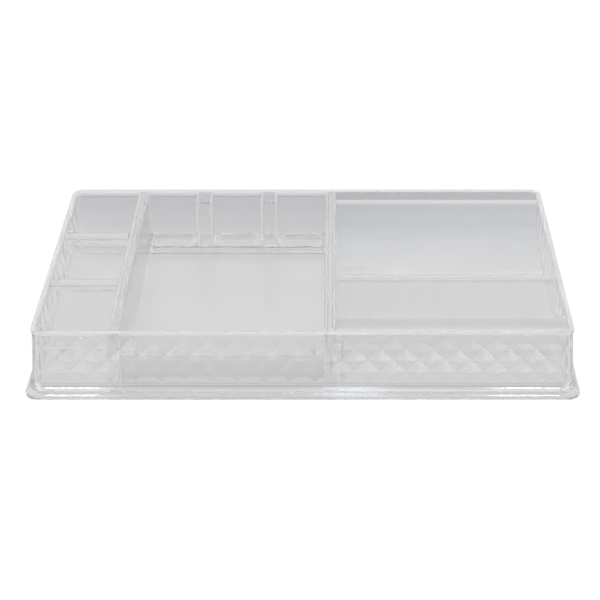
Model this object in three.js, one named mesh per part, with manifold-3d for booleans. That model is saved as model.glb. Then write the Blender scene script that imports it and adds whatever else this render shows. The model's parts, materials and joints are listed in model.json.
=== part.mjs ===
// A clear plastic tray that sorts cosmetics into nine open compartments. An outer wall with rows of
// faceted diamonds stands on a flat floor plate and flares into a low skirt. Hollow dividers split the
// tray into a left column of three, a large middle compartment with three niches at its back, and two
// compartments on the right whose ends curve up from the floor. Millimetres, +Z up, the origin on the
// table under the middle of the tray, +Y towards the back.

import * as THREE from 'three';
import { mergeVertices } from 'three/addons/utils/BufferGeometryUtils.js';
import Module from 'manifold-3d';

const wasm = await Module();
wasm.setup();

// Outer wall, measured at its rim
const rimWidth = 340;
const rimDepth = 216;
const trayHeight = 45;
const rimCornerRadius = 7;
const wallThickness = 3;
const wallDraft = 2.2;
const rimRounding = 1.2;
const beadHeight = 2.4;
const beadReach = 0.8;

// Skirt at the foot of the wall
const skirtHeight = 9;
const skirtFlare = 4.5;
const skirtLipHeight = 0.9;
const skirtThickness = 2;
const rollCount = 2;
const rollBulge = 0.4;

// Diamond facets on the front and both sides
const facetWidth = 16;
const facetMargin = 0.8;
const facetRelief = 1.8;
const sideFacetRelief = 1;
const facetRows = 2;

// Floor plate
const floorThickness = 2.5;
const floorClearance = 0.5;
const floorEdgeChamfer = 0.4;

// Hollow dividers, each an upside-down channel
const dividerWidth = 7.6;
const dividerWall = 2;
const dividerDrop = 0.6;
const dividerRounding = 2;
const hollowRounding = 0.8;
const leftColumnWidth = 44.2;
const leftRearDividerPlace = 33;
const leftFrontDividerPlace = -37;
const centreDividerPlace = 17.5;
const rightDividerPlace = -30;

// The band along the back wall: niches on a low sill in the middle, a sill on the left and a flat
// ledge on the right
const bandDepth = 17;
const nicheCount = 3;
const nicheCornerRadius = 4.5;
const ribWidth = 11.7;
const ribWall = 1.8;
const ribRounding = 2;
const sillHeight = 5;

// Curved end ramps
const rampThickness = 2.2;
const rampTip = 0.6;
const rampRounding = 3;
const frontLedgeDepth = 21;
const frontRampHeight = 24.5;

// Fits and finish
const fitGap = 0.3;
const cutOverrun = 5;
const cornerSteps = 8;
const rollSteps = 6;
const roundingSteps = 4;
const rampSteps = 14;
const backSteps = 2;

// Levels and places that follow from the sizes above
const floorTop = floorClearance + floorThickness;
const pieceFoot = floorTop + fitGap;
const sillTop = pieceFoot + sillHeight;
const dividerTop = trayHeight - dividerDrop;
const skirtReach = wallDraft + skirtFlare;
const floorReach = wallDraft - fitGap;
const halfWidth = rimWidth / 2;
const halfDepth = rimDepth / 2;
const innerHalfWidth = halfWidth - wallThickness;
const innerHalfDepth = halfDepth - wallThickness;
const bandFace = innerHalfDepth - bandDepth;
const leftDividerPlace = -innerHalfWidth + leftColumnWidth + dividerWidth / 2;

// How far the wall's outer face lies outside the rim line at a height
function wallOffset(height) {
  return wallDraft * (trayHeight - height) / (trayHeight - skirtHeight);
}

// Half the clear width or depth inside the wall at a height
function innerHalf(halfSize, height) {
  return halfSize - wallThickness + wallOffset(height);
}

// Stations round the rim line, anticlockwise from the front left, each with its outward direction.
// Faceted sides have two stations to a diamond, counted by step.
function perimeter(facetedSides) {
  const straightX = halfWidth - rimCornerRadius;
  const straightY = halfDepth - rimCornerRadius;
  const sides = [
    { from: [-straightX, -halfDepth], to: [straightX, -halfDepth], out: [0, -1], relief: facetRelief },
    { from: [halfWidth, -straightY], to: [halfWidth, straightY], out: [1, 0], relief: sideFacetRelief },
    { from: [straightX, halfDepth], to: [-straightX, halfDepth], out: [0, 1], relief: 0 },
    { from: [-halfWidth, straightY], to: [-halfWidth, -straightY], out: [-1, 0], relief: sideFacetRelief },
  ];
  const stations = [];
  for (const side of sides) {
    const length = Math.hypot(side.to[0] - side.from[0], side.to[1] - side.from[1]);
    const faceted = facetedSides && side.relief > 0;
    const steps = faceted ? 2 * Math.round(length / facetWidth) : backSteps;
    for (let step = 0; step <= steps; step++) {
      const share = step / steps;
      stations.push({
        x: side.from[0] + share * (side.to[0] - side.from[0]),
        y: side.from[1] + share * (side.to[1] - side.from[1]),
        out: side.out,
        spread: side.out,
        step: faceted ? step : null,
        lastStep: steps,
        relief: side.relief,
      });
    }
    const startAngle = Math.atan2(side.out[1], side.out[0]);
    const centreX = side.to[0] - side.out[0] * rimCornerRadius;
    const centreY = side.to[1] - side.out[1] * rimCornerRadius;
    const spread = [Math.sign(centreX), Math.sign(centreY)];
    for (let step = 1; step < cornerSteps; step++) {
      const angle = startAngle + (step / cornerSteps) * Math.PI / 2;
      const out = [Math.cos(angle), Math.sin(angle)];
      stations.push({
        x: centreX + out[0] * rimCornerRadius,
        y: centreY + out[1] * rimCornerRadius,
        out,
        spread,
        step: null,
      });
    }
  }
  return stations;
}

// A place off the rim line. Beyond the wall's foot the corners are spread and not widened, so that the
// skirt keeps the wall's corner radius.
function placeAt(station, offset, height) {
  const widening = Math.min(offset, wallDraft);
  const spreading = offset - widening;
  return [
    station.x + station.out[0] * widening + station.spread[0] * spreading,
    station.y + station.out[1] * widening + station.spread[1] * spreading,
    height,
  ];
}

function geometryFrom(points, triangles) {
  const geometry = new THREE.BufferGeometry();
  geometry.setAttribute('position', new THREE.Float32BufferAttribute(points.flat(), 3));
  geometry.setIndex(triangles.flat());
  return geometry;
}

// The wall's section as a closed loop of places, outside going up and inside coming down. Each place
// on the faceted band knows its row there.
function wallSection() {
  const section = [];
  section.push({ offset: skirtReach, height: 0 });
  section.push({ offset: skirtReach, height: skirtLipHeight });
  const rollReach = skirtFlare / rollCount;
  const rollHeight = (skirtHeight - skirtLipHeight) / rollCount;
  const rollChord = Math.hypot(rollReach, rollHeight);
  for (let roll = 0; roll < rollCount; roll++) {
    for (let step = 1; step <= rollSteps; step++) {
      const share = step / rollSteps;
      const bulge = rollBulge * Math.sin(share * Math.PI);
      section.push({
        offset: skirtReach - (roll + share) * rollReach + bulge * rollHeight / rollChord,
        height: skirtLipHeight + (roll + share) * rollHeight + bulge * rollReach / rollChord,
      });
    }
  }
  const beadFoot = trayHeight - beadHeight;
  const bandFoot = skirtHeight + facetMargin;
  const bandTop = beadFoot - facetMargin;
  const bandSteps = 2 * facetRows;
  for (let row = 0; row <= bandSteps; row++) {
    const height = bandFoot + (row / bandSteps) * (bandTop - bandFoot);
    section.push({ offset: wallOffset(height), height, row, lastRow: bandSteps });
  }
  const beadFace = wallOffset(beadFoot) + beadReach;
  section.push({ offset: wallOffset(beadFoot), height: beadFoot });
  section.push({ offset: beadFace, height: beadFoot + beadReach });
  const roundingHeight = trayHeight - rimRounding;
  const outerCentre = beadFace - rimRounding;
  const innerCentre = wallOffset(roundingHeight) - wallThickness + rimRounding;
  for (const [centre, startAngle] of [[outerCentre, 0], [innerCentre, Math.PI / 2]]) {
    for (let step = 0; step <= roundingSteps; step++) {
      const angle = startAngle + (step / roundingSteps) * Math.PI / 2;
      section.push({
        offset: centre + rimRounding * Math.cos(angle),
        height: roundingHeight + rimRounding * Math.sin(angle),
      });
    }
  }
  section.push({ offset: wallOffset(pieceFoot) - wallThickness, height: pieceFoot });
  section.push({ offset: wallDraft, height: pieceFoot });
  section.push({ offset: skirtReach - skirtThickness, height: 0 });
  return section;
}

// A diamond's middle stands out of the wall, and its corners and edges lie on the wall
function facetRise(station, place) {
  if (station.step === null || place.row === undefined) return 0;
  const onEdge = station.step === 0 || station.step === station.lastStep
    || place.row === 0 || place.row === place.lastRow;
  const isMiddle = (station.step + place.row) % 2 === 0;
  return isMiddle && !onEdge ? station.relief : 0;
}

// The outer wall: the section carried round the perimeter, with each square of the grid split along
// the diagonal that is a diamond's edge
function outerWallGeometry() {
  const stations = perimeter(true);
  const section = wallSection();
  const points = [];
  for (const station of stations) {
    for (const place of section) {
      points.push(placeAt(station, place.offset + facetRise(station, place), place.height));
    }
  }
  const triangles = [];
  for (let column = 0; column < stations.length; column++) {
    const nextColumn = (column + 1) % stations.length;
    for (let row = 0; row < section.length; row++) {
      const nextRow = (row + 1) % section.length;
      const a = column * section.length + row;
      const b = nextColumn * section.length + row;
      const c = nextColumn * section.length + nextRow;
      const d = column * section.length + nextRow;
      const station = stations[column];
      const place = section[row];
      const middleFirst = station.step !== null && place.row !== undefined
        && (station.step + place.row) % 2 === 0;
      if (middleFirst) {
        triangles.push([a, b, d], [b, c, d]);
      } else {
        triangles.push([a, b, c], [a, c, d]);
      }
    }
  }
  return geometryFrom(points, triangles);
}

// A rounded block whose sides follow the rim line at a list of offsets and heights, foot first
function roundedBlock(levels) {
  const stations = perimeter(false);
  const points = [];
  for (const level of levels) {
    for (const station of stations) points.push(placeAt(station, level.offset, level.height));
  }
  const foot = points.length;
  points.push([0, 0, levels[0].height]);
  const top = points.length;
  points.push([0, 0, levels[levels.length - 1].height]);
  const triangles = [];
  for (let column = 0; column < stations.length; column++) {
    const next = (column + 1) % stations.length;
    for (let level = 0; level + 1 < levels.length; level++) {
      const lower = level * stations.length;
      const upper = lower + stations.length;
      triangles.push([lower + column, lower + next, upper + next]);
      triangles.push([lower + column, upper + next, upper + column]);
    }
    const last = (levels.length - 1) * stations.length;
    triangles.push([foot, next, column]);
    triangles.push([top, last + column, last + next]);
  }
  return geometryFrom(points, triangles);
}

function toSolid(geometry) {
  const bare = geometry.clone();
  bare.deleteAttribute('normal');
  bare.deleteAttribute('uv');
  const merged = mergeVertices(bare);
  return new wasm.Manifold(new wasm.Mesh({
    numProp: 3,
    vertProperties: merged.attributes.position.array,
    triVerts: Uint32Array.from(merged.index.array),
  }));
}

function toGeometry(solid) {
  const mesh = solid.getMesh();
  const geometry = new THREE.BufferGeometry();
  geometry.setAttribute('position', new THREE.BufferAttribute(mesh.vertProperties, 3));
  geometry.setIndex(new THREE.BufferAttribute(mesh.triVerts, 1));
  return geometry;
}

// The space inside the wall, a fit gap clear of it. Every inner piece is trimmed to it.
const innerSpace = toSolid(roundedBlock([
  { offset: wallOffset(pieceFoot) - wallThickness - fitGap, height: pieceFoot },
  { offset: -wallThickness - fitGap, height: trayHeight },
]));

function trimmed(solid) {
  return toGeometry(solid.intersect(innerSpace));
}

// A section drawn across and up, carried along Y from one place to another
function alongY(shape, from, to) {
  const settings = { depth: to - from, bevelEnabled: false, curveSegments: roundingSteps };
  const geometry = new THREE.ExtrudeGeometry(shape, settings);
  geometry.rotateX(Math.PI / 2);
  geometry.translate(0, to, 0);
  return geometry;
}

// A section drawn in Y and up, carried along X from one place to another
function alongX(shape, from, to) {
  const settings = { depth: to - from, bevelEnabled: false, curveSegments: roundingSteps };
  const geometry = new THREE.ExtrudeGeometry(shape, settings);
  geometry.rotateX(Math.PI / 2);
  geometry.rotateZ(Math.PI / 2);
  geometry.translate(from, 0, 0);
  return geometry;
}

// The section of a hollow divider: an upside-down channel with rounded shoulders
function channelSection(middle) {
  const half = dividerWidth / 2;
  const shoulder = dividerTop - dividerRounding;
  const shape = new THREE.Shape();
  shape.moveTo(middle + half, pieceFoot);
  shape.lineTo(middle + half, shoulder);
  shape.absarc(middle + half - dividerRounding, shoulder, dividerRounding, 0, Math.PI / 2);
  shape.absarc(middle - half + dividerRounding, shoulder, dividerRounding, Math.PI / 2, Math.PI);
  shape.lineTo(middle - half, pieceFoot);
  shape.lineTo(middle - half + dividerWall, pieceFoot);
  const hollowHalf = half - dividerWall - hollowRounding;
  const hollowShoulder = dividerTop - dividerWall - hollowRounding;
  shape.absarc(middle - hollowHalf, hollowShoulder, hollowRounding, Math.PI, Math.PI / 2, true);
  shape.absarc(middle + hollowHalf, hollowShoulder, hollowRounding, Math.PI / 2, 0, true);
  shape.lineTo(middle + half - dividerWall, pieceFoot);
  shape.closePath();
  return shape;
}

function longDivider(place) {
  const reach = halfDepth + cutOverrun;
  return trimmed(toSolid(alongY(channelSection(place), -reach, reach)));
}

function crossDivider(place, from, to) {
  return trimmed(toSolid(alongX(channelSection(place), from, to)));
}

// A hollow rib between two niches, whose foot on the sill spreads in two quarter rounds
function rearRib(middle) {
  const half = ribWidth / 2;
  const shoulder = dividerTop - ribRounding;
  const foot = sillTop + fitGap;
  const roundHeight = foot + nicheCornerRadius;
  const front = new THREE.Shape();
  front.moveTo(middle + half + nicheCornerRadius, foot);
  front.absarc(middle + half + nicheCornerRadius, roundHeight, nicheCornerRadius,
    -Math.PI / 2, -Math.PI, true);
  front.lineTo(middle + half, shoulder);
  front.absarc(middle + half - ribRounding, shoulder, ribRounding, 0, Math.PI / 2);
  front.absarc(middle - half + ribRounding, shoulder, ribRounding, Math.PI / 2, Math.PI);
  front.lineTo(middle - half, roundHeight);
  front.absarc(middle - half - nicheCornerRadius, roundHeight, nicheCornerRadius,
    0, -Math.PI / 2, true);
  front.closePath();
  const body = toSolid(alongY(front, bandFace, halfDepth + cutOverrun));

  const underRadius = nicheCornerRadius + ribWall;
  const hollow = new THREE.Shape();
  hollow.moveTo(middle + half + nicheCornerRadius, roundHeight - underRadius);
  hollow.absarc(middle + half + nicheCornerRadius, roundHeight, underRadius,
    -Math.PI / 2, -Math.PI, true);
  hollow.lineTo(middle + half - ribWall, dividerTop - ribWall);
  hollow.lineTo(middle - half + ribWall, dividerTop - ribWall);
  hollow.lineTo(middle - half + ribWall, roundHeight);
  hollow.absarc(middle - half - nicheCornerRadius, roundHeight, underRadius,
    0, -Math.PI / 2, true);
  hollow.closePath();
  const core = toSolid(alongY(hollow, bandFace + ribWall, halfDepth + 2 * cutOverrun));
  return trimmed(body.subtract(core));
}

// A low hollow sill along the back wall between two faces. Its ends curve up at those faces, and the
// end at the outer wall overruns its face, to be trimmed to the wall's slope.
function rearSill(leftFace, rightFace, leftOverrun) {
  const roundHeight = sillTop + nicheCornerRadius;
  const front = new THREE.Shape();
  front.moveTo(leftFace - leftOverrun, pieceFoot);
  front.lineTo(rightFace, pieceFoot);
  front.lineTo(rightFace, roundHeight);
  front.absarc(rightFace - nicheCornerRadius, roundHeight, nicheCornerRadius, 0, -Math.PI / 2, true);
  front.absarc(leftFace + nicheCornerRadius, roundHeight, nicheCornerRadius,
    -Math.PI / 2, -Math.PI, true);
  front.lineTo(leftFace - leftOverrun, roundHeight);
  front.closePath();
  const body = toSolid(alongY(front, bandFace, halfDepth + cutOverrun));

  const underRadius = nicheCornerRadius + ribWall;
  const underStart = Math.acos((nicheCornerRadius - ribWall) / underRadius);
  const hollow = new THREE.Shape();
  hollow.moveTo(leftFace + ribWall, pieceFoot - cutOverrun);
  hollow.lineTo(rightFace - ribWall, pieceFoot - cutOverrun);
  hollow.absarc(rightFace - nicheCornerRadius, roundHeight, underRadius,
    -underStart, -Math.PI / 2, true);
  hollow.absarc(leftFace + nicheCornerRadius, roundHeight, underRadius,
    -Math.PI / 2, underStart - Math.PI, true);
  hollow.closePath();
  const core = toSolid(alongY(hollow, bandFace + ribWall, halfDepth + 2 * cutOverrun));
  return trimmed(body.subtract(core));
}

// The section of a ramp in Y and up: an optional flat ledge from the wall, a rounded edge, and a
// quarter round down to the floor. Side is 1 at the back of the tray and -1 at the front.
function rampSection(edge, top, side) {
  const wall = side * (halfDepth + cutOverrun);
  const centreHeight = top - rampRounding;
  const radius = centreHeight - pieceFoot - rampTip;
  const centre = edge - side * radius;
  const underRadius = radius + rampThickness;
  const underEnd = Math.asin((centreHeight - pieceFoot) / underRadius);
  const points = [];
  points.push([wall, top]);
  for (let step = 0; step <= roundingSteps; step++) {
    const angle = (step / roundingSteps) * Math.PI / 2;
    const inward = rampRounding * (1 - Math.sin(angle));
    points.push([edge + side * inward, centreHeight + rampRounding * Math.cos(angle)]);
  }
  for (let step = 1; step <= rampSteps; step++) {
    const angle = (step / rampSteps) * Math.PI / 2;
    points.push([centre + side * radius * Math.cos(angle), centreHeight - radius * Math.sin(angle)]);
  }
  points.push([centre, pieceFoot]);
  for (let step = 0; step <= rampSteps; step++) {
    const angle = (1 - step / rampSteps) * underEnd;
    points.push([
      centre + side * underRadius * Math.cos(angle),
      centreHeight - underRadius * Math.sin(angle),
    ]);
  }
  points.push([centre + side * underRadius, top - rampThickness]);
  points.push([wall, top - rampThickness]);
  return new THREE.Shape(points.map(([y, z]) => new THREE.Vector2(y, z)));
}

function ramp(edge, top, side, from, to) {
  return trimmed(toSolid(alongX(rampSection(edge, top, side), from, to)));
}

// Faces between which the cross dividers, ribs and ramps fit
const leftFace = leftDividerPlace - dividerWidth / 2 - fitGap;
const middleLeftFace = leftDividerPlace + dividerWidth / 2;
const middleRightFace = centreDividerPlace - dividerWidth / 2;
const rightFace = centreDividerPlace + dividerWidth / 2 + fitGap;
const outerReach = halfWidth + cutOverrun;
const middleWidth = middleRightFace - middleLeftFace;
const nicheWidth = (middleWidth - (nicheCount - 1) * ribWidth) / nicheCount;
const frontRampEdge = -innerHalf(halfDepth, pieceFoot + frontRampHeight) + fitGap + rampThickness;

const tray = new THREE.Group();

function addPiece(name, geometry, tint) {
  const material = new THREE.MeshStandardMaterial({
    color: tint,
    roughness: 0.06,
    metalness: 0,
    transparent: true,
    opacity: 0.35,
  });
  const mesh = new THREE.Mesh(geometry, material);
  mesh.name = name;
  tray.add(mesh);
}

const wallTint = 0xdfe1e4;
const floorTint = 0xe4e5e7;
const dividerTint = 0xe2e3e6;
const rampTint = 0xdcdfe3;

addPiece('outer_wall', outerWallGeometry(), wallTint);
addPiece('floor_plate', roundedBlock([
  { offset: floorReach - floorEdgeChamfer, height: floorClearance },
  { offset: floorReach, height: floorClearance + floorEdgeChamfer },
  { offset: floorReach, height: floorTop },
]), floorTint);
addPiece('left_long_divider', longDivider(leftDividerPlace), dividerTint);
addPiece('centre_divider', longDivider(centreDividerPlace), dividerTint);
const crossDividers = [
  { name: 'left_rear_cross_divider', place: leftRearDividerPlace, from: -outerReach, to: leftFace },
  { name: 'left_front_cross_divider', place: leftFrontDividerPlace, from: -outerReach, to: leftFace },
  { name: 'right_cross_divider', place: rightDividerPlace, from: rightFace, to: outerReach },
];
for (const { name, place, from, to } of crossDividers) {
  addPiece(name, crossDivider(place, from, to), dividerTint);
}
for (let rib = 1; rib < nicheCount; rib++) {
  const nearFace = middleLeftFace + rib * nicheWidth + (rib - 1) * ribWidth;
  addPiece(`rear_rib_${rib}`, rearRib(nearFace + ribWidth / 2), dividerTint);
}
const leftSillFace = -innerHalf(halfWidth, sillTop) + fitGap;
addPiece('left_rear_sill', rearSill(leftSillFace, leftFace, cutOverrun), dividerTint);
addPiece('middle_rear_sill', rearSill(middleLeftFace + fitGap, middleRightFace - fitGap, 0),
  dividerTint);
const frontLedgeEdge = -innerHalfDepth + frontLedgeDepth;
addPiece('right_rear_ramp', ramp(bandFace, dividerTop, 1, rightFace, outerReach), rampTint);
addPiece('right_front_ramp', ramp(frontLedgeEdge, dividerTop, -1, rightFace, outerReach), rampTint);
addPiece('main_front_ramp', ramp(frontRampEdge, pieceFoot + frontRampHeight, -1,
  middleLeftFace + fitGap, middleRightFace - fitGap), rampTint);

export default tray;
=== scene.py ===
import json
import math

import bmesh
import bpy
from mathutils import Matrix, Vector


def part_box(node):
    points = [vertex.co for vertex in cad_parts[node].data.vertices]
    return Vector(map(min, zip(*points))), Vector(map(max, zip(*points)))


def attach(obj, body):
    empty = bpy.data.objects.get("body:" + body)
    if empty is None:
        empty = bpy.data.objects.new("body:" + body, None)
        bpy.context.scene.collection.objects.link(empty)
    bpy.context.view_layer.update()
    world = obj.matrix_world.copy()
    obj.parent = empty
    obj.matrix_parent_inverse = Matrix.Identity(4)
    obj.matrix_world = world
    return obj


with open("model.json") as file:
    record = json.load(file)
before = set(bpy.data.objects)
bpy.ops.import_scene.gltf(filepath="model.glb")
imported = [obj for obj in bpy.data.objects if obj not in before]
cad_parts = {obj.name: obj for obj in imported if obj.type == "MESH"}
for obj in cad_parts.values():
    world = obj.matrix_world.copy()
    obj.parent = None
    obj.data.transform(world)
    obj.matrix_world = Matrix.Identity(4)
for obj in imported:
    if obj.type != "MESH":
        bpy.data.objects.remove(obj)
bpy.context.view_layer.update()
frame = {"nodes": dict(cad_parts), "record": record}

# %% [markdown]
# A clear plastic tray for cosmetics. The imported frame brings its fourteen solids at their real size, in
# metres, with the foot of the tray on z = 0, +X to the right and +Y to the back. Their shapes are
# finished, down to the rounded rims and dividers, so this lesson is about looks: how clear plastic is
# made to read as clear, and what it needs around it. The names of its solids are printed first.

print("nodes:", sorted(frame["nodes"]))

# %% [markdown]
# The camera stands about a metre in front of the tray and looks down on it by 28 degrees, as a product
# photographer would with a short telephoto lens. The side rims of the tray run to one vanishing point,
# a little right of the picture's middle. A camera that is turned towards it would also lean the front
# wall, which stands level in such pictures, so the lens is shifted and the camera isn't turned.

# %% Camera
CAMERA_PLACE = (0.019, -1.0631, 0.5758)
CAMERA_DOWN = math.radians(28)
PICTURE_PX = 600
VANISHING_X_PX = 332.6
FOCAL_PX = 1749
SENSOR_MM = 36

camera_data = bpy.data.cameras.new("camera")
camera_data.sensor_width = SENSOR_MM
camera_data.lens = FOCAL_PX / PICTURE_PX * SENSOR_MM
camera_data.shift_x = (PICTURE_PX / 2 - VANISHING_X_PX) / PICTURE_PX
camera = bpy.data.objects.new("camera", camera_data)
camera.location = CAMERA_PLACE
camera.rotation_euler = (math.pi / 2 - CAMERA_DOWN, 0, 0)
bpy.context.scene.collection.objects.link(camera)
bpy.context.scene.camera = camera
print("lens", round(camera_data.lens, 2), "mm, shift", round(camera_data.shift_x, 4))

# %% [markdown]
# Shader nodes are wired by small helpers, so that each finish reads as a short list of what it does.
# One starts an empty material, one adds a node and sets it, and one links a value or a plain grey.

# %% Node helpers
def new_material(name):
    material = bpy.data.materials.new(name)
    material.use_nodes = True
    material.node_tree.nodes.clear()
    return material, material.node_tree


def add_node(tree, kind, **settings):
    node = tree.nodes.new(kind)
    for key, value in settings.items():
        setattr(node, key, value)
    return node


def colour_of(value):
    # a colour stays as it is, and a single number is a grey
    return value if isinstance(value, tuple) else (value, value, value)


def place_on(tree, axis):
    place = add_node(tree, "ShaderNodeTexCoord")
    split = add_node(tree, "ShaderNodeSeparateXYZ")
    tree.links.new(place.outputs["Object"], split.inputs["Vector"])
    return split.outputs[axis]


def finish_material(tree, shader):
    output = add_node(tree, "ShaderNodeOutputMaterial")
    tree.links.new(shader, output.inputs["Surface"])


print("node helpers are ready")

# %% [markdown]
# Much of what is seen in clear plastic depends on the place: light that is caught in the sheet comes out
# at the rim and along rounded edges, and a crease stays dark. This could be painted in a texture, but
# here a band along one axis of the piece does it. Its stops are places in millimetres, each with a grey
# or a colour, and a colour ramp blends between them. The front end may have stops of its own.

# %% Bands along an axis
MM_PER_M = 1000
FRONT_END = -104.6
FRONT_BLEND = 0.3


def along_axis(tree, axis, stops):
    first, last = stops[0][0], stops[-1][0]
    share = add_node(tree, "ShaderNodeMapRange")
    share.inputs["From Min"].default_value = first / MM_PER_M
    share.inputs["From Max"].default_value = last / MM_PER_M
    tree.links.new(place_on(tree, axis), share.inputs["Value"])
    band = add_node(tree, "ShaderNodeValToRGB")
    elements = band.color_ramp.elements
    elements.remove(elements[1])
    for index, (millimetres, value) in enumerate(stops):
        position = (millimetres - first) / (last - first)
        element = elements[0] if index == 0 else elements.new(position)
        element.position = position
        element.color = (*colour_of(value), 1)
    tree.links.new(share.outputs["Result"], band.inputs["Fac"])
    return band.outputs["Color"]


def banded(tree, axis, stops, front_stops=None, front_end=FRONT_END):
    if front_stops is None:
        return along_axis(tree, axis, stops)
    mix = add_node(tree, "ShaderNodeMix", data_type="RGBA")
    behind = along_axis(tree, "Y", [(front_end - FRONT_BLEND, 0), (front_end + FRONT_BLEND, 1)])
    tree.links.new(behind, mix.inputs["Factor"])
    tree.links.new(along_axis(tree, axis, front_stops), mix.inputs["A"])
    tree.links.new(along_axis(tree, axis, stops), mix.inputs["B"])
    return mix.outputs["Result"]


print("the front wall's own bands end at", FRONT_END, "mm")

# %% [markdown]
# The plastic is a solid that light passes through. It is a Principled shader with transmission and the
# refractive index of acrylic, so the walls bend what lies behind them as the real ones do. Its
# transmission is also its clearness: what is missing from 1 is frost, which scatters light and makes a
# rim or a rounded edge lighter. Tint and clearness are each one value or a band of them. A slow noise in
# the roughness is the haze that a used mould leaves. Light on its way to the table is let straight
# through, or the table under the tray would be black.

# %% Clear plastic
ACRYLIC_IOR = 1.49
HAZE_SCALE = 60
HAZE_DETAIL = 2.0
LEAST_HAZE = 0.75
SHADOW_TINT = 0.94


def straight_through(tree, shader):
    clear = add_node(tree, "ShaderNodeBsdfTransparent")
    clear.inputs["Color"].default_value = (*colour_of(SHADOW_TINT), 1)
    path = add_node(tree, "ShaderNodeLightPath")
    both = add_node(tree, "ShaderNodeMath", operation="MAXIMUM")
    tree.links.new(path.outputs["Is Shadow Ray"], both.inputs[0])
    tree.links.new(path.outputs["Is Diffuse Ray"], both.inputs[1])
    mix = add_node(tree, "ShaderNodeMixShader")
    tree.links.new(both.outputs["Value"], mix.inputs["Fac"])
    tree.links.new(shader, mix.inputs[1])
    tree.links.new(clear.outputs["BSDF"], mix.inputs[2])
    return mix.outputs["Shader"]


def hazy(tree, haze):
    place = add_node(tree, "ShaderNodeTexCoord")
    noise = add_node(tree, "ShaderNodeTexNoise")
    noise.inputs["Scale"].default_value = HAZE_SCALE
    noise.inputs["Detail"].default_value = HAZE_DETAIL
    tree.links.new(place.outputs["Object"], noise.inputs["Vector"])
    rough = add_node(tree, "ShaderNodeMapRange")
    rough.inputs["To Min"].default_value = haze * LEAST_HAZE
    rough.inputs["To Max"].default_value = haze
    tree.links.new(noise.outputs["Fac"], rough.inputs["Value"])
    return rough.outputs["Result"]


def is_band(value):
    # a band starts with the letter of its axis, and a colour with a number
    return isinstance(value, tuple) and isinstance(value[0], str)


# tint_and_painted_shade is a plain tint, or a band that also paints shade into the colour
def clear_plastic(name, haze, tint_and_painted_shade, clearness=1.0, index=ACRYLIC_IOR):
    material, tree = new_material(name)
    plastic = add_node(tree, "ShaderNodeBsdfPrincipled")
    if is_band(tint_and_painted_shade):
        tree.links.new(banded(tree, *tint_and_painted_shade), plastic.inputs["Base Color"])
    else:
        plastic.inputs["Base Color"].default_value = (*colour_of(tint_and_painted_shade), 1)
    if is_band(clearness):
        tree.links.new(banded(tree, *clearness), plastic.inputs["Transmission Weight"])
    else:
        plastic.inputs["Transmission Weight"].default_value = clearness
    plastic.inputs["IOR"].default_value = index
    tree.links.new(hazy(tree, haze), plastic.inputs["Roughness"])
    finish_material(tree, straight_through(tree, plastic.outputs["BSDF"]))
    print(name, "has a haze of", haze, "and an index of", index)
    return material


# %% [markdown]
# The outer wall is one piece from the foot of the skirt to the rim. Its band along Z paints shade into
# the tint. Going up, painted shade darkens the foot where it meets the table and, a little, the skirt;
# painted dark lines mark the crease between the two rolls of the skirt and a deeper one where they meet
# the wall, a thin painted dark line lies under the bead of the rim, and the rim of the back and sides is
# painted a little darker. The front wall is the clearest, because its diamonds are the best polished part
# of the mould, and painted shade makes its upper part a little darker than its lower one. The floor is a
# flat plate.

# %% The wall and the floor
WALL_HAZE = 0.1
FLOOR_HAZE = 0.26
WALL_TINT = 0.985
# painted shade: the rim of the back and sides is a little darker
RIM_PAINTED_SHADE = 0.95
# painted shade: the upper part of the front wall is a little darker
UPPER_FRONT_PAINTED_SHADE = 0.948
# painted shade: the skirt is a little darker than the wall
SKIRT_PAINTED_SHADE = 0.955
# painted shade: darker at the foot and along the creases and under the rim's bead
FOOT_PAINTED_SHADE = 0.75
CREASE_PAINTED_SHADE = 0.84
DEEP_CREASE_PAINTED_SHADE = 0.62
WALL_CLEAR = 0.88
RIM_CLEAR = 0.6
FRONT_CLEAR = 0.97
FRONT_RIM_CLEAR = 0.72
# the skirt's band of painted shade, going up from the foot
SKIRT_PAINTED_SHADES = [
    (0, FOOT_PAINTED_SHADE), (1.1, SKIRT_PAINTED_SHADE), (4.5, SKIRT_PAINTED_SHADE), (4.9, CREASE_PAINTED_SHADE), (5.7, CREASE_PAINTED_SHADE),
    (6.1, SKIRT_PAINTED_SHADE), (7.1, SKIRT_PAINTED_SHADE), (8.0, DEEP_CREASE_PAINTED_SHADE), (8.8, WALL_TINT),
]
# the wall's bands of painted shade: back and sides first, then the front
WALL_PAINTED_SHADES = (
    "Z",
    SKIRT_PAINTED_SHADES + [
        (39.6, WALL_TINT), (40.3, CREASE_PAINTED_SHADE), (41.2, WALL_TINT), (42.4, RIM_PAINTED_SHADE), (45, RIM_PAINTED_SHADE),
    ],
    SKIRT_PAINTED_SHADES + [
        (28.4, WALL_TINT), (29.4, UPPER_FRONT_PAINTED_SHADE), (41.8, UPPER_FRONT_PAINTED_SHADE), (42.6, CREASE_PAINTED_SHADE),
        (43.3, WALL_TINT), (45, WALL_TINT),
    ],
)
WALL_CLEARNESS = (
    "Z",
    [(0, WALL_CLEAR), (41.0, WALL_CLEAR), (41.6, RIM_CLEAR), (45, RIM_CLEAR)],
    [(0, FRONT_CLEAR), (43.5, FRONT_CLEAR), (44.0, FRONT_RIM_CLEAR), (45, FRONT_RIM_CLEAR)],
)
PLASTICS = {
    "clear_wall": clear_plastic("clear_wall", WALL_HAZE, WALL_PAINTED_SHADES, WALL_CLEARNESS),
    "clear_floor": clear_plastic("clear_floor", FLOOR_HAZE, WALL_TINT),
}

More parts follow.
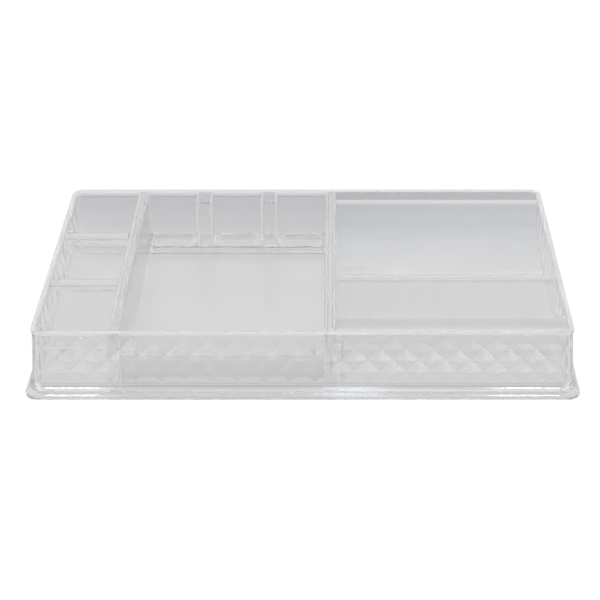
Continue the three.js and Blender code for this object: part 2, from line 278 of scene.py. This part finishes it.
# %% [markdown]
# On the real tray the dividers, ribs and sills are welded in or moulded with the wall, and a welded
# joint can't be seen. The solids here are separate, with a thin gap of air between them that would show
# as two more bright and dark faces. Filling the gaps would change the shapes, so these pieces get a
# lower index of refraction instead, which all but hides such faces. The rounded tops of the dividers
# are frosted by the light that leaves there, and so is the joint with the front wall, where cement
# leaves a milky film. The two ribs have light edges and a clear middle, and the sills are nearly plain.

# %% Dividers, ribs and sills
WELDED_IOR = 1.16
WELDED_HAZE = 0.14

DIVIDER_TINT = 1.0
# painted shade: the rounded tops of the dividers are darker
DIVIDER_EDGE_PAINTED_SHADE = 0.82
DIVIDER_PAINTED_SHADES = ("Z", [
    (0, DIVIDER_TINT), (41.6, DIVIDER_TINT), (42.4, DIVIDER_EDGE_PAINTED_SHADE), (44.1, DIVIDER_EDGE_PAINTED_SHADE),
    (44.3, DIVIDER_TINT), (45, DIVIDER_TINT),
])
DIVIDER_CLEAR = 0.88
JOINT_CLEAR = 0.5
JOINT_END = -99.0
ROUNDED_TOP = [(42.6, 0.3), (44.1, 0.3), (44.36, 0.97), (45, 0.97)]
DIVIDER_CLEARNESS = (
    "Z",
    [(0, DIVIDER_CLEAR), (42.2, DIVIDER_CLEAR)] + ROUNDED_TOP,
    [(0, JOINT_CLEAR), (42.2, JOINT_CLEAR)] + ROUNDED_TOP,
    JOINT_END,
)

# painted shade: the tops of the ribs are darker
RIB_TOP_PAINTED_SHADE = (0.9, 0.9, 0.91)
RIB_PAINTED_SHADES = ("Z", [(0, WALL_TINT), (41.8, WALL_TINT), (42.4, RIB_TOP_PAINTED_SHADE), (45, RIB_TOP_PAINTED_SHADE)])
RIB_MIDDLES = (-74.18, -27.32)
RIB_FOOT_CLEAR = 0.78
RIB_EDGE_CLEAR = 0.45
RIB_CLEAR = 0.9
ACROSS_A_RIB = [
    (-6.8, RIB_FOOT_CLEAR), (-6.0, RIB_EDGE_CLEAR), (-4.9, RIB_EDGE_CLEAR), (-4.0, RIB_CLEAR),
    (4.0, RIB_CLEAR), (4.9, RIB_EDGE_CLEAR), (6.0, RIB_EDGE_CLEAR), (6.8, RIB_FOOT_CLEAR),
]
RIB_CLEARNESS = ("X", [
    (middle + side, clearness) for middle in RIB_MIDDLES for side, clearness in ACROSS_A_RIB
])

SILL_TINT = 0.96
SILL_CLEARNESS = ("Z", [(0, 0.9), (7.0, 0.9), (7.2, 0.95), (8, 0.95)])

for name, tint_and_painted_shade, clearness in (
    ("clear_divider", DIVIDER_PAINTED_SHADES, DIVIDER_CLEARNESS),
    ("clear_rib", RIB_PAINTED_SHADES, RIB_CLEARNESS),
    ("clear_sill", SILL_TINT, SILL_CLEARNESS),
):
    PLASTICS[name] = clear_plastic(name, WELDED_HAZE, tint_and_painted_shade, clearness, WELDED_IOR)

# %% [markdown]
# The ramps are curved sheets, and a curved sheet gathers the tone of a wide piece of table. Ray tracing
# finds this by itself only with a very smooth surface and shows every small error of it, so the ramps
# have a stronger haze, and bands along Y paint that light and shade in: painted grey shade on the ledges
# at the front and the back, a bright frosted line where the back ledge turns down, and painted shade on
# the slope that pales from blue-grey to clear. The toe of the slope is frosted, so that it fades into the
# floor without a line.

# %% Ramps
RAMP_HAZE = 0.4
# painted shade: the grey of the ledges
LEDGE_PAINTED_SHADE = (0.71, 0.708, 0.708)
# painted shade along Y: darker front ledge, blue-grey slope, darker back ledge
RAMP_PAINTED_SHADES = ("Y", [
    (-110, 0.895), (-87.5, 0.85), (-86.5, 1.0), (58, 1.0), (66, 0.945),
    (74, (0.917, 0.923, 0.936)), (82, (0.955, 0.97, 0.995)), (84.5, (0.895, 0.911, 0.938)),
    (90.5, (0.83, 0.836, 0.852)), (91.5, LEDGE_PAINTED_SHADE), (110, LEDGE_PAINTED_SHADE),
])
RAMP_CLEARNESS = ("Y", [
    (-110, 0.5), (-101.5, 0.5), (-100.5, 1.0), (-88, 1.0), (-87, 0.5), (-84, 0.5), (-83.5, 1.0),
    (46, 0.72), (55, 0.72), (61, 0.95), (88, 0.95), (88.6, 0.2), (90.7, 0.2), (91.4, 1.0), (110, 1.0),
])
PLASTICS["clear_ramp"] = clear_plastic("clear_ramp", RAMP_HAZE, RAMP_PAINTED_SHADES, RAMP_CLEARNESS)

# %% [markdown]
# Each solid of the frame names its material slot in the record. The plastic of that name goes on it,
# apart from the ribs and sills, which share the dividers' slot and have plastics of their own.

# %% Give each solid its plastic
OWN_PLASTICS = {"rib": "clear_rib", "sill": "clear_sill"}
slots = {row["node"]: row["material_slot"] for row in frame["record"]["subparts"]}
for name, node in frame["nodes"].items():
    own = [plastic for word, plastic in OWN_PLASTICS.items() if word in name.split("_")]
    node.data.materials.clear()
    node.data.materials.append(PLASTICS[own[0] if own else slots[name]])
    print(name, "is", node.data.materials[0].name)

# %% [markdown]
# Where a piece stands on the floor, a fine dark line of shade shows at the foot of the sills and of the
# rear cross divider. It is painted shade: a thin bead of greyer, less clear plastic laid along that foot.
# A bead is a thin rod: a cylinder that is turned along X and sunk a little.

# %% Beads of painted shade
BEAD_RADIUS = 0.0006
BEAD_SIDES = 10
BEAD_LIFT = 0.9
# painted shade: greyer, less clear plastic for the fine dark lines at the feet
SHADE_BEAD_COLOUR = (0.8, 0.8, 0.81)
SHADE_BEAD_ROUGHNESS = 0.2
SHADE_BEAD_CLEARNESS = 0.9
BEADS = [
    # name, place from front to back, left end and right end, in metres
    ("left_sill_bead", 0.0862, -0.1655, -0.1236),
    ("middle_sill_bead", 0.0862, -0.1144, 0.0134),
    ("cross_divider_bead", 0.0285, -0.1665, -0.1236),
]
floor_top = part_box("floor_plate")[1][2]

painted_shade_bead, tree = new_material("painted_shade_bead")
bead_shader = add_node(tree, "ShaderNodeBsdfPrincipled")
bead_shader.inputs["Base Color"].default_value = (*SHADE_BEAD_COLOUR, 1)
bead_shader.inputs["Roughness"].default_value = SHADE_BEAD_ROUGHNESS
bead_shader.inputs["Transmission Weight"].default_value = SHADE_BEAD_CLEARNESS
finish_material(tree, bead_shader.outputs["BSDF"])

for name, back, left, right in BEADS:
    rod = bmesh.new()
    bmesh.ops.create_cone(rod, cap_ends=True, segments=BEAD_SIDES, radius1=BEAD_RADIUS,
                          radius2=BEAD_RADIUS, depth=right - left)
    bmesh.ops.rotate(rod, verts=rod.verts, cent=(0, 0, 0), matrix=Matrix.Rotation(math.pi / 2, 3, "Y"))
    centre = ((left + right) / 2, back, floor_top + BEAD_RADIUS * BEAD_LIFT)
    bmesh.ops.translate(rod, verts=rod.verts, vec=centre)
    mesh = bpy.data.meshes.new(name)
    rod.to_mesh(mesh)
    rod.free()
    bead = bpy.data.objects.new(name, mesh)
    bpy.context.scene.collection.objects.link(bead)
    mesh.materials.append(painted_shade_bead)
    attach(bead, "root")
print("beads:", [name for name, *_ in BEADS], "on the floor at", round(floor_top * MM_PER_M, 2), "mm")

# %% [markdown]
# The table is a wide flat sheet just under the foot of the tray. It belongs to the picture and not to
# the tray.

# %% Table
TABLE_HALF = 3.0
TABLE_DROP = 0.0002

mesh = bpy.data.meshes.new("table")
sheet = bmesh.new()
bmesh.ops.create_grid(sheet, x_segments=1, y_segments=1, size=TABLE_HALF)
bmesh.ops.translate(sheet, verts=sheet.verts, vec=(0, 0, -TABLE_DROP))
sheet.to_mesh(mesh)
sheet.free()
table = bpy.data.objects.new("table", mesh)
bpy.context.scene.collection.objects.link(table)
print("table: half width", TABLE_HALF, "m")

# %% [markdown]
# Clear plastic has no tone of its own. In front of pure white it would vanish, and a photographer sets
# such a thing over grey card and lightens the background afterwards. The table does the same with one
# shader: seen straight by the camera it is white and keeps a soft share of the tray's shadow, and seen
# through the plastic it is a pale grey card. Painted light makes the card a little lighter under the side
# columns, painted shade makes it a little darker in front, and painted shade turns it cooler and darker
# behind the tray, as a sweep of paper does away from the lamps.

# %% Tones of the table
# the grey card, with painted light: lighter under the side columns
CARD_GREY_AND_PAINTED_LIGHT = [
    (-250, 0.76), (-176, 0.76), (-162, 0.7), (-122, 0.7), (-112, 0.655),
    (14, 0.655), (24, 0.69), (162, 0.69), (176, 0.76), (250, 0.76),
]
# painted shade: the card is a little darker in front
CARD_FRONT_PAINTED_SHADE = [(-75, 0.885), (-45, 0.9), (-30, 1.0), (0, 1.0)]
# painted shade: cooler and darker far behind the tray
FAR_PAINTED_SHADE_TONE = (0.445, 0.447, 0.475)
FAR_PAINTED_SHADE_SHARES = [
    (92, 0.0), (112, 0.19), (142, 0.54), (177, 0.86), (210, 1.05), (270, 1.05), (420, 0.1), (500, 0.1),
]
FAR_HALF_START = 0.18
FAR_HALF_END = 0.23
TABLE_WHITE = 1.05
TABLE_PAINT = 0.95
SHADOW_SHARE = 0.12

card, tree = new_material("table_card")
aside = add_node(tree, "ShaderNodeMath", operation="ABSOLUTE")
tree.links.new(place_on(tree, "X"), aside.inputs[0])
behind = add_node(tree, "ShaderNodeMapRange", interpolation_type="SMOOTHSTEP")
behind.inputs["From Min"].default_value = FAR_HALF_START
behind.inputs["From Max"].default_value = FAR_HALF_END
behind.inputs["To Min"].default_value = 1.0
behind.inputs["To Max"].default_value = 0.0
tree.links.new(aside.outputs["Value"], behind.inputs["Value"])
far = add_node(tree, "ShaderNodeMath", operation="MULTIPLY")
tree.links.new(along_axis(tree, "Y", FAR_PAINTED_SHADE_SHARES), far.inputs[0])
tree.links.new(behind.outputs["Result"], far.inputs[1])
near = add_node(tree, "ShaderNodeMix", data_type="RGBA", blend_type="MULTIPLY")
near.inputs["Factor"].default_value = 1.0
tree.links.new(along_axis(tree, "X", CARD_GREY_AND_PAINTED_LIGHT), near.inputs["A"])
tree.links.new(along_axis(tree, "Y", CARD_FRONT_PAINTED_SHADE), near.inputs["B"])
tone = add_node(tree, "ShaderNodeMix", data_type="RGBA")
tree.links.new(near.outputs["Result"], tone.inputs["A"])
tone.inputs["B"].default_value = (*FAR_PAINTED_SHADE_TONE, 1)
tree.links.new(far.outputs["Value"], tone.inputs["Factor"])
print("card: grey tones from", CARD_GREY_AND_PAINTED_LIGHT[4][1], "to", CARD_GREY_AND_PAINTED_LIGHT[0][1])

# %% [markdown]
# The two sides of the table meet in a mix on whether the ray comes straight from the camera. Both are
# mostly light of their own, so that the tones stay what they are in every view.

# %% Table for the camera and table for the plastic
through = add_node(tree, "ShaderNodeEmission")
tree.links.new(tone.outputs["Result"], through.inputs["Color"])
white = add_node(tree, "ShaderNodeEmission")
white.inputs["Strength"].default_value = TABLE_WHITE
paint = add_node(tree, "ShaderNodeBsdfDiffuse")
paint.inputs["Color"].default_value = (*colour_of(TABLE_PAINT), 1)
seen = add_node(tree, "ShaderNodeMixShader")
seen.inputs["Fac"].default_value = 1 - SHADOW_SHARE
tree.links.new(paint.outputs["BSDF"], seen.inputs[1])
tree.links.new(white.outputs["Emission"], seen.inputs[2])
path = add_node(tree, "ShaderNodeLightPath")
choose = add_node(tree, "ShaderNodeMixShader")
tree.links.new(path.outputs["Is Camera Ray"], choose.inputs["Fac"])
tree.links.new(through.outputs["Emission"], choose.inputs[1])
tree.links.new(seen.outputs["Shader"], choose.inputs[2])
finish_material(tree, choose.outputs["Shader"])
table.data.materials.append(card)
print("table: the camera sees white with", SHADOW_SHARE, "of the shadow")

# %% [markdown]
# The room is a soft white dome that is a little darker towards the horizon, so that edges which mirror
# the horizon get a fine grey outline. The camera sees the dome as white, as it does the table.

# %% Room
HORIZON_TONE = (0.55, 0.55, 0.56)
DOME_TONE = 0.92
DOME_START = 0.42

world = bpy.data.worlds.new("room")
bpy.context.scene.world = world
world.use_nodes = True
tree = world.node_tree
tree.nodes.clear()
place = add_node(tree, "ShaderNodeTexCoord")
split = add_node(tree, "ShaderNodeSeparateXYZ")
tree.links.new(place.outputs["Generated"], split.inputs["Vector"])
rise = add_node(tree, "ShaderNodeValToRGB")
rise.color_ramp.elements[0].color = (*HORIZON_TONE, 1)
rise.color_ramp.elements[1].position = DOME_START
rise.color_ramp.elements[1].color = (*colour_of(DOME_TONE), 1)
tree.links.new(split.outputs["Z"], rise.inputs["Fac"])
dome = add_node(tree, "ShaderNodeBackground")
tree.links.new(rise.outputs["Color"], dome.inputs["Color"])
white = add_node(tree, "ShaderNodeBackground")
white.inputs["Color"].default_value = (1, 1, 1, 1)
path = add_node(tree, "ShaderNodeLightPath")
choose = add_node(tree, "ShaderNodeMixShader")
tree.links.new(path.outputs["Is Camera Ray"], choose.inputs["Fac"])
tree.links.new(dome.outputs["Background"], choose.inputs[1])
tree.links.new(white.outputs["Background"], choose.inputs[2])
output = add_node(tree, "ShaderNodeOutputWorld")
tree.links.new(choose.outputs["Shader"], output.inputs["Surface"])
print("room: a dome of", DOME_TONE, "over a horizon of", HORIZON_TONE[0])

# %% [markdown]
# One long soft box in front lights the whole tray evenly. The sparkle of the front comes from seven small
# ones. Four thin strips hang just over the table, two on each side: seen from the camera, the faces of
# the diamonds mirror what is low in front of the tray, and a lamp high up leaves them dull. A bluish
# strip is mirrored in the middle of the skirt, and one lamp for each end gives the white glint there.
# All seven would also show in the ramps, where nothing shines on the real tray, so they light only a
# collection that holds the outer wall.

# %% Lamps
def soft_box(name, place, width, depth, power, colour=(1, 1, 1), only_on=None):
    data = bpy.data.lights.new(name, "AREA")
    data.shape = "RECTANGLE"
    data.size = width
    data.size_y = depth
    data.energy = power
    data.color = colour
    lamp = bpy.data.objects.new(name, data)
    lamp.location = place
    lamp.rotation_euler = (-Vector(place)).to_track_quat("-Z", "Y").to_euler()
    bpy.context.scene.collection.objects.link(lamp)
    if only_on:
        lamp.light_linking.receiver_collection = only_on
    print(name, "gives", power, "W")


STRIP_Y = -0.65
STRIP_THICKNESS = 0.008
HIGH_STRIP_Z = 0.033
LOW_STRIP_Z = 0.011
GLINT_Y = -0.97
GLINT_Z = 0.32
BLUISH = (0.72, 0.8, 1.0)

wall_only = bpy.data.collections.new("lit_by_the_small_lamps")
wall_only.objects.link(frame["nodes"]["outer_wall"])

soft_box("front_strip", (0, -2.4, 0.18), 3.0, 0.36, 2.2)
for name, x, z, width, power in (
    ("right_high_sparkle", 0.385, HIGH_STRIP_Z, 0.22, 0.02),
    ("right_low_sparkle", 0.385, LOW_STRIP_Z, 0.22, 0.02),
    ("left_high_sparkle", -0.36, HIGH_STRIP_Z, 0.24, 0.018),
    ("left_low_sparkle", -0.36, LOW_STRIP_Z, 0.24, 0.014),
):
    soft_box(name, (x, STRIP_Y, z), width, STRIP_THICKNESS, power, only_on=wall_only)
soft_box("blue_strip", (0.046, -1.35, 0.62), 0.085, 1.1, 1.5, BLUISH, wall_only)
soft_box("left_glint", (-0.285, GLINT_Y, GLINT_Z), 0.07, 0.14, 0.6, only_on=wall_only)
soft_box("right_glint", (0.241, GLINT_Y, GLINT_Z), 0.08, 0.14, 0.7, only_on=wall_only)

# %% [markdown]
# Light crosses many plastic faces on its way through the tray, two for each wall, so a path may be
# longer than usual before it is cut off. With short paths the rims and corners turn black.

# %% Render paths and view
PATH_LENGTH = 48
CLEAR_LAYERS = 32

scene = bpy.context.scene
scene.cycles.max_bounces = PATH_LENGTH
scene.cycles.transmission_bounces = PATH_LENGTH
scene.cycles.glossy_bounces = PATH_LENGTH
scene.cycles.transparent_max_bounces = CLEAR_LAYERS
scene.view_settings.view_transform = "Standard"
print("a path may have", PATH_LENGTH, "bounces")
